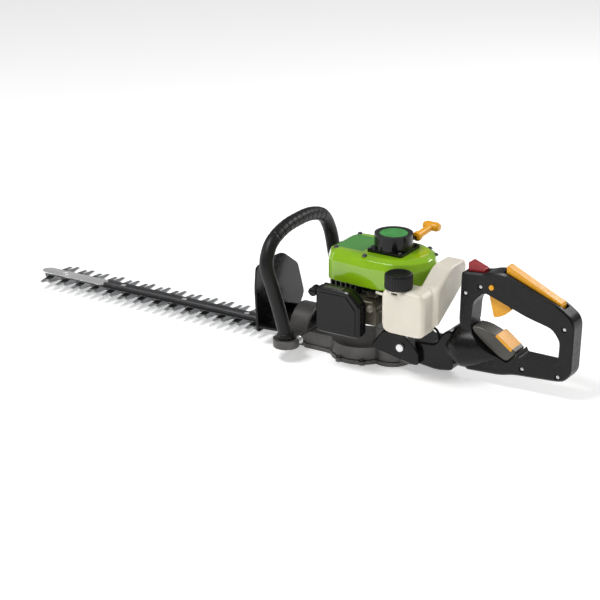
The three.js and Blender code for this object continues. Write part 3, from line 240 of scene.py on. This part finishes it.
PITCH = 0.035  # one tooth to the next
# partly painted shade: near black in the gaps between the teeth, partly the blades' darker steel
# and partly the shade between and under the two blades; a darker grey along the spine, partly
# painted shadow beside the guide bar's edge
BLADE_SHADE_AND_DARK_STEEL = [
    ((0.012, 0.012, 0.013), [("X", PITCH, 0.0005, 0.0165),
                             ("Y", "abs", 0.0090, 0.0300)]),
    ((0.10, 0.10, 0.105), [("Y", "abs", -1, 0.0168)]),
]
STICKER = [((0.06, 0.30, 0.035), [("X", "plain", -0.098, -0.040), ("Y", "abs", -1, 0.036),
                                 ("Z", "plain", 0.186, 1)])]
LOOKS = {
    # the blade's patches paint shade between the teeth and beside the guide bar, on top of its
    # darker steel
    "blade_steel": steel("blade_steel", (0.52, 0.53, 0.54), 0.32, stretch=(1, 0.12, 1),
                         grain=2600, vary=0.25, wear=(0.62, 0.63, 0.64), wear_amount=0.9,
                         patches=BLADE_SHADE_AND_DARK_STEEL),
    "bright_steel": steel("bright_steel", (0.80, 0.80, 0.80), 0.28, metal=0.6, stretch=(0.15, 1, 1),
                          wear=(0.9, 0.9, 0.9)),
    "dark_steel": steel("dark_steel", (0.085, 0.085, 0.089), 0.4, metal=0.5,
                        wear=(0.3, 0.3, 0.31), wear_amount=0.6),
    "cast_alloy": steel("cast_alloy", (0.105, 0.10, 0.095), 0.44, metal=0.45, grain=900,
                        bump=0.35, vary=0.2, wear=(0.16, 0.16, 0.155), wear_amount=0.5),
    "black_plastic": plastic("black_plastic", (0.0065, 0.0065, 0.007), 0.32, bump=0.16,
                             specular=0.26, wear=(0.03, 0.03, 0.03)),
    "satin_black": plastic("satin_black", (0.006, 0.006, 0.0065), 0.2, bump=0.05, coat=0.1,
                           specular=0.22, wear=(0.04, 0.04, 0.04)),
    "carb_alloy": steel("carb_alloy", (0.085, 0.075, 0.055), 0.42, metal=0.6, vary=0.4,
                        grain=900, bump=0.3, wear=(0.4, 0.33, 0.18)),
    "smoke": plastic("smoke", (0.16, 0.14, 0.11), 0.25, bump=0.05, coat=0.3),
    "gloss_black": plastic("gloss_black", (0.005, 0.005, 0.0055), 0.16, bump=0.03, coat=0.12,
                           specular=0.25, wear=(0.05, 0.05, 0.05)),
    "rubber_grip": plastic("rubber_grip", (0.009, 0.0086, 0.0083), 0.42, bump=0.3, grain=1000,
                           specular=0.3),
    "lime_plastic": plastic("lime_plastic", (0.27, 0.52, 0.008), 0.13, bump=0.02, coat=0.6,
                            vary=0.04, wear=(0.34, 0.62, 0.06), wear_amount=0.3,
                            patches=STICKER),
    "badge_green": plastic("badge_green", (0.05, 0.30, 0.06), 0.3, bump=0.1, vary=0.2),
    "amber_plastic": plastic("amber_plastic", (0.88, 0.40, 0.010), 0.32, bump=0.08, vary=0.05,
                             wear=(0.9, 0.5, 0.08)),
    "red_plastic": plastic("red_plastic", (0.34, 0.012, 0.018), 0.3, bump=0.06, vary=0.06),
    "tank_plastic": plastic("tank_plastic", (0.80, 0.74, 0.63), 0.36, bump=0.06, vary=0.035,
                            cloudy=0.3),
    "grey_plastic": plastic("grey_plastic", (0.065, 0.062, 0.052), 0.38, bump=0.15,
                            wear=(0.3, 0.3, 0.27)),
    "filter_foam": plastic("filter_foam", (0.02, 0.02, 0.022), 0.95, grain=500, bump=1.0),
    "brass_parts": steel("brass_parts", (0.20, 0.16, 0.09), 0.4, vary=0.4, grain=900, bump=0.2),
}


# ---------- mesh helpers ----------
def add_mesh(name, bm):
    mesh = bpy.data.meshes.new(name)
    bm.to_mesh(mesh)
    bm.free()
    obj = bpy.data.objects.new(name, mesh)
    bpy.context.collection.objects.link(obj)
    return obj


ROUND_ABOVE = math.radians(33)  # an edge that turns more than this is rounded


def soften(obj, width, segments=2):
    """Rounds the sharp edges and shades the rest smooth."""
    for polygon in obj.data.polygons:
        polygon.use_smooth = True
    if width:
        bevel = obj.modifiers.new("round", "BEVEL")
        bevel.width = width
        bevel.segments = segments
        bevel.limit_method = "ANGLE"
        bevel.angle_limit = ROUND_ABOVE
    normals = obj.modifiers.new("normals", "WEIGHTED_NORMAL")
    normals.keep_sharp = True


def dress(obj, body, slot, look=None):
    """Rides the piece on its body and gives it its look."""
    obj.data.materials.clear()
    obj.data.materials.append(look or LOOKS[slot])
    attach(obj, body)
    return obj


def copied(node):
    """A clean copy of a CAD node's mesh: joined corners, flat faces in one piece."""
    mesh = NODES[node].data.copy()
    if "custom_normal" in mesh.attributes:
        mesh.attributes.remove(mesh.attributes["custom_normal"])
    bm = bmesh.new()
    bm.from_mesh(mesh)
    bmesh.ops.remove_doubles(bm, verts=bm.verts, dist=2e-6)
    bmesh.ops.dissolve_limit(bm, angle_limit=math.radians(0.6), verts=bm.verts, edges=bm.edges)
    obj = add_mesh(node + "_skin", bm)
    bpy.data.meshes.remove(mesh)
    return obj


def skin(node, width, segments=2, look=None, holes=()):
    """Stands in for a CAD node with a rounded, finished copy of it."""
    obj = copied(node)
    for cutter in holes:
        cut = obj.modifiers.new("recess", "BOOLEAN")
        cut.object = cutter
        cut.solver = "EXACT"
    soften(obj, width, segments)
    if holes:
        freeze(obj)
        for cutter in holes:
            bpy.data.objects.remove(cutter)
    dress(obj, BODY_OF[node], SLOT_OF[node], look)
    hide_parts(node)
    return obj


def freeze(obj):
    """Turns the modifiers' result into the mesh."""
    graph = bpy.context.evaluated_depsgraph_get()
    graph.update()
    mesh = bpy.data.meshes.new_from_object(obj.evaluated_get(graph))
    obj.modifiers.clear()
    obj.data = mesh


def moulded(node, voxel, rounds):
    """Stands in for a CAD node with a blow-moulded or soft-edged copy of it."""
    obj = copied(node)
    remesh = obj.modifiers.new("remesh", "REMESH")
    remesh.mode = "VOXEL"
    remesh.voxel_size = voxel
    smooth = obj.modifiers.new("smooth", "SMOOTH")
    smooth.factor = 0.5
    smooth.iterations = rounds
    freeze(obj)
    for polygon in obj.data.polygons:
        polygon.use_smooth = True
    dress(obj, BODY_OF[node], SLOT_OF[node])
    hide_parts(node)
    return obj


AXES = {
    "+z": Matrix.Identity(3),
    "-y": Matrix.Rotation(math.pi / 2, 3, "X"),
    "+y": Matrix.Rotation(-math.pi / 2, 3, "X"),
}


def lathe(name, profile, place, axis="+z", sides=32, wave=0.0, waves=0):
    """Turns (radius, height) points in mm about an axis; wave ribs the rim."""
    bm = bmesh.new()
    rings = []
    for radius, height in profile:
        ring = []
        for i in range(sides):
            angle = 2 * math.pi * i / sides
            ribbed = radius - wave * (0.5 - 0.5 * math.cos(waves * angle)) if waves else radius
            point = Vector((ribbed * math.cos(angle), ribbed * math.sin(angle), height)) * MM
            ring.append(bm.verts.new(AXES[axis] @ point + Vector(place) * MM))
        rings.append(ring)
    for low, high in zip(rings, rings[1:]):
        for i in range(sides):
            j = (i + 1) % sides
            bm.faces.new((low[i], low[j], high[j], high[i]))
    bm.faces.new(list(reversed(rings[0])))
    bm.faces.new(rings[-1])
    obj = add_mesh(name, bm)
    soften(obj, 0)
    return obj


def curve_points(points, per_span):
    """Catmull-Rom points through the given ones, so many to each span."""
    padded = [points[0], *points, points[-1]]
    result = []
    for a, b, c, d in zip(padded, padded[1:], padded[2:], padded[3:]):
        for i in range(per_span):
            t = i / per_span
            result.append(0.5 * (2 * b + (c - a) * t + (2 * a - 5 * b + 4 * c - d) * t * t
                                 + (3 * b - a - 3 * c + d) * t ** 3))
    result.append(points[-1])
    return result


def sweep(name, points, radius, sides, per_span):
    """A bar in mm along a curve; radius is a function of the point."""
    path = curve_points([Vector(p) for p in points], per_span)
    bm = bmesh.new()
    rings = []
    normal = None
    for i, point in enumerate(path):
        ahead = (path[min(i + 1, len(path) - 1)] - path[max(i - 1, 0)]).normalized()
        start = normal if normal is not None else ahead.orthogonal()
        normal = (start - ahead * start.dot(ahead)).normalized()
        across = ahead.cross(normal)
        size = radius(point)
        rings.append([
            bm.verts.new((point + size * (normal * math.cos(a) + across * math.sin(a))) * MM)
            for a in (2 * math.pi * k / sides for k in range(sides))
        ])
    for low, high in zip(rings, rings[1:]):
        for k in range(sides):
            j = (k + 1) % sides
            bm.faces.new((low[k], low[j], high[j], high[k]))
    bm.faces.new(list(reversed(rings[0])))
    bm.faces.new(rings[-1])
    obj = add_mesh(name, bm)
    soften(obj, 0)
    return obj


def slab(name, corners, axis, low, high, width):
    """A flat plate in mm from an outline, thickened along y or z."""
    bm = bmesh.new()
    sides = []
    for level in (low, high):
        sides.append([
            bm.verts.new(Vector((a, level, b) if axis == "y" else (a, b, level)) * MM)
            for a, b in corners
        ])
    count = len(corners)
    bm.faces.new(sides[0])
    bm.faces.new(list(reversed(sides[1])))
    for i in range(count):
        j = (i + 1) % count
        bm.faces.new((sides[0][i], sides[1][i], sides[1][j], sides[0][j]))
    bmesh.ops.recalc_face_normals(bm, faces=bm.faces)
    obj = add_mesh(name, bm)
    soften(obj, width)
    return obj


ABOVE_ALL = 400  # mm, higher than any piece
_trees = {}  # the search trees already made, by node


def surface_height(node, x, y):
    """The z in mm of a CAD node's top surface at x, y."""
    if node not in _trees:
        mesh = NODES[node].data
        _trees[node] = BVHTree.FromPolygons(
            [v.co for v in mesh.vertices], [tuple(p.vertices) for p in mesh.polygons])
    hit = _trees[node].ray_cast(Vector((x, y, ABOVE_ALL)) * MM, Vector((0, 0, -1)))[0]
    return hit.z / MM if hit else None


def screw(name, body, place, axis, radius, slot="bright_steel"):
    """A pan-head screw with a cross recess."""
    head = lathe(name, [(radius, 0), (radius, 1.2), (radius * 0.86, 2.0), (radius * 0.5, 2.4),
                        (0.05, 2.5)], place, axis, 28)
    arm = radius * 0.62
    thin = radius * 0.15
    for turn in (0, 1):
        half = (arm, thin) if turn else (thin, arm)
        bm = bmesh.new()
        bmesh.ops.create_cube(bm, size=2)
        for v in bm.verts:
            point = Vector((v.co.x * half[0], v.co.y * half[1], 2.2 + v.co.z * 1.0)) * MM
            v.co = AXES[axis] @ point + Vector(place) * MM
        cutter = add_mesh("cutter", bm)
        cut = head.modifiers.new("cross", "BOOLEAN")
        cut.object = cutter
        cut.solver = "EXACT"
        freeze(head)
        bpy.data.objects.remove(cutter)
    return dress(head, body, slot)


def socket_bolt(name, body, place, axis, radius, height, slot="dark_steel"):
    """A cap screw with a washer and a hexagon socket shown as a sunk ring."""
    bolt = lathe(name, [
        (radius * 1.35, 0), (radius * 1.35, 0.8), (radius, 0.9), (radius, height - 0.6),
        (radius - 0.6, height), (radius * 0.55, height), (radius * 0.5, height * 0.45),
        (0.05, height * 0.45),
    ], place, axis, 30)
    return dress(bolt, body, slot)


# ---------- blade ----------
def cutting_gear():
    for blade in ("upper_blade", "lower_blade"):
        skin(blade, 0.0003, 1)
    skin("guide_bar", 0.0004, 2)
    skin("tip_plate", 0.0003, 2)
    for i in range(1, 5):
        skin(f"blade_bolt_{i}", 0.0004, 2)


# ---------- handles ----------
HANDLE_FACE = 18.3  # the handle halves' outer faces, from the middle plane
SCREW_SEAT = 14.3  # the floor of each screw's recess
RECESS_RADIUS = 4.9
HANDLE_SCREWS = [(149.4, 159.1), (177.4, 175.5), (335.3, 130.8), (259.6, 44.1), (326.1, 43.9)]


def recess(x, z, side):
    """The cutter for a screw's round recess."""
    depth = HANDLE_FACE - SCREW_SEAT
    axis = "-y" if side < 0 else "+y"
    return lathe("recess", [(RECESS_RADIUS, -depth), (RECESS_RADIUS, depth)],
                 (x, side * HANDLE_FACE, z), axis, 24)


def rear_handle():
    for node, side in (("handle_left", -1), ("handle_right", 1)):
        skin(node, 0.0018, 3, holes=[recess(x, z, side) for x, z in HANDLE_SCREWS])
        axis = "-y" if side < 0 else "+y"
        for i, (x, z) in enumerate(HANDLE_SCREWS):
            screw(f"{node}_screw_{i}", "rear_handle", (x, side * SCREW_SEAT, z), axis, 3.7)
    for node, width in (("stop_switch", 0.0006), ("lockout_lever", 0.001),
                        ("throttle_trigger", 0.0012), ("lock_button", 0.0005),
                        ("swivel_release", 0.0008)):
        skin(node, width, 3)


GRIP_RADIUS = 12.2
GROOVE_PITCH = 15
GROOVE_DEPTH = 0.9
GROOVE_WIDTH = 1.3


def grooved(point):
    """The loop's radius: shallow grooves cross the part that a hand holds."""
    if abs(point.y) > 88 or point.z < 150:
        return GRIP_RADIUS
    from_groove = abs((point.y + GROOVE_PITCH / 2) % GROOVE_PITCH - GROOVE_PITCH / 2)
    return GRIP_RADIUS - GROOVE_DEPTH * math.exp(-(from_groove / GROOVE_WIDTH) ** 2)


def front_loop():
    foot, top, rise = (-158, 95, 40.9), 224, 183.4
    half = [foot, (-168.5, 99, 86.4), (-180.7, 104, 132.3), (-190.2, 107, 40.6 + rise * 0.7),
            (-193, 95, top - 28), (-193, 75, top - 12), (-193, 39, top - 2)]
    other = [(x, -y, z) for x, y, z in reversed(half)]
    loop = sweep("front_loop_grip", [*half, (-193, 0, top), *other], grooved, 24, 30)
    dress(loop, "engine_frame", "rubber_grip")
    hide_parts("front_handle")
    for side in (-1, 1):
        collar = lathe(f"loop_collar_{side + 1}", [(15, 0), (16.5, 1.2), (16.5, 5), (14, 9),
                                                   (12.4, 10)], (-158.3, side * 95.1, 40.9))
        dress(collar, "engine_frame", "rubber_grip")


def guard_and_bracket():
    skin("hand_guard", 0.001, 3, look=LOOKS["satin_black"])
    skin("handle_bracket", 0.0008, 2)


# ---------- engine and covers ----------
def engine():
    for node in ("gear_case", "bottom_cover", "crankcase", "cylinder", "muffler", "muffler_guard",
                 "intake_block", "filter_base", "choke_knob", "base_bolt", "spark_plug",
                 "ignition_lead", "throttle_cable", "fuel_line"):
        skin(node, 0.0007, 2)
    skin("carburettor", 0.0007, 2, look=LOOKS["carb_alloy"])
    skin("primer_bulb", 0.0007, 2, look=LOOKS["smoke"])
    skin("filter_cover", 0.0016, 3, look=LOOKS["satin_black"])
    skin("swivel_base", 0.0012, 3, look=LOOKS["satin_black"])
    moulded("fuel_tank", 0.0016, 8)
    moulded("top_cover", 0.0013, 5)
    skin("pull_handle", 0.001, 3)
    skin("pull_rope", 0)
    cap_low, cap_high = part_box("fuel_cap")
    middle = (cap_low + cap_high) / 2 / MM
    height = (cap_high.z - cap_low.z) / MM
    bottom = cap_low.z / MM
    cap = lathe("fuel_cap_ribbed", [
        (18.6, 0), (23.4, 0), (24.3, 3), (24.3, height - 4), (22.6, height - 1), (20.5, height),
        (15, height), (14, height - 1.4), (0.05, height - 1.4),
    ], (middle.x, middle.y, bottom), "+z", 160, 1.0, 32)
    dress(cap, "fuel_cap", "black_plastic")
    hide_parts("fuel_cap")


STARTER_FLANGE = 209.0  # the top of the starter's square flange


def starter_details():
    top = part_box("starter_housing")[1].z / MM
    dish = lathe("dish", [(25, -1.1), (25, 2)], (0, 0, top), "+z", 48)
    skin("starter_housing", 0.001, 3, holes=[dish])
    for i, (x, y) in enumerate([(-28.5, -28.5), (28.5, -28.5), (28.5, 28.5), (-28.5, 28.5)]):
        screw(f"starter_screw_{i}", "engine_frame", (x, y, STARTER_FLANGE), "+z", 3.0, "dark_steel")
    disc = lathe("starter_badge", [(24.4, -1.1), (24.4, -0.5), (23.6, -0.3), (17, -0.3),
                                   (16.6, -0.7), (15.4, -0.7), (15, -0.3), (0.05, -0.3)],
                 (0, 0, top), "+z", 64)
    dress(disc, "engine_frame", "lime_plastic", LOOKS["badge_green"])


def cover_bolts():
    for i, (x, y) in enumerate([(-27, -52), (70, -40), (66, 30), (46, 45), (-90, -40), (-90, 40)]):
        z = surface_height("top_cover", x, y)
        if z:
            socket_bolt(f"cover_bolt_{i}", "engine_frame", (x, y, z - 0.6), "+z", 3.6, 3.4)


def filter_details():
    panel = slab("filter_panel", [(-84, 79), (-13, 79), (-13, 122), (-32, 144), (-84, 144)], "y",
                 -107.4, -105.6, 0.0007)
    dress(panel, "engine_frame", "black_plastic", LOOKS["satin_black"])
    plate = slab("filter_top_plate", [(-78, -103), (-40, -103), (-40, -93), (-78, -93)], "z",
                 152.8, 154.2, 0.0004)
    dress(plate, "engine_frame", "grey_plastic")


CASE_MIDDLE = -60.2  # the crank gear's axis, along x
CASE_SCREW_CIRCLE = 55.4


def lever_details():
    pad = slab("release_pad", [(208, 92.6), (238, 70.6), (241.5, 75.2), (211.5, 97.2)], "y",
               -17.6, 17.6, 0.0012)
    dress(pad, "swivel_release", "amber_plastic")
    ring = lathe("swivel_seam", [(37.2, -0.8), (38.3, -0.5), (38.3, 0.5), (37.2, 0.8)],
                 (0, 0, 0), "+z", 64)
    turn = Matrix.Rotation(math.radians(90 - 8.5), 4, "Y")
    ring.data.transform(Matrix.Translation((0.1452, 0, 0.059)) @ turn)
    dress(ring, "rear_handle", "gloss_black")
    for i, angle in enumerate((60, 105, 150, 210, 255, 300)):
        x = CASE_MIDDLE + CASE_SCREW_CIRCLE * math.cos(math.radians(angle))
        y = CASE_SCREW_CIRCLE * math.sin(math.radians(angle))
        socket_bolt(f"case_screw_{i}", "engine_frame", (x, y, 7.6), "+z", 2.5, 3.0)
    socket_bolt("bracket_bolt", "engine_frame", (-140, -80.8, 36), "-y", 5.5, 7, "bright_steel")


def main():
    make_camera()
    make_studio()
    cutting_gear()
    rear_handle()
    front_loop()
    guard_and_bracket()
    engine()
    starter_details()
    cover_bolts()
    filter_details()
    lever_details()
    for name, obj in NODES.items():  # the nodes that no piece stands in for need a look too
        obj.data.materials.clear()
        obj.data.materials.append(LOOKS[SLOT_OF[name]])


main()
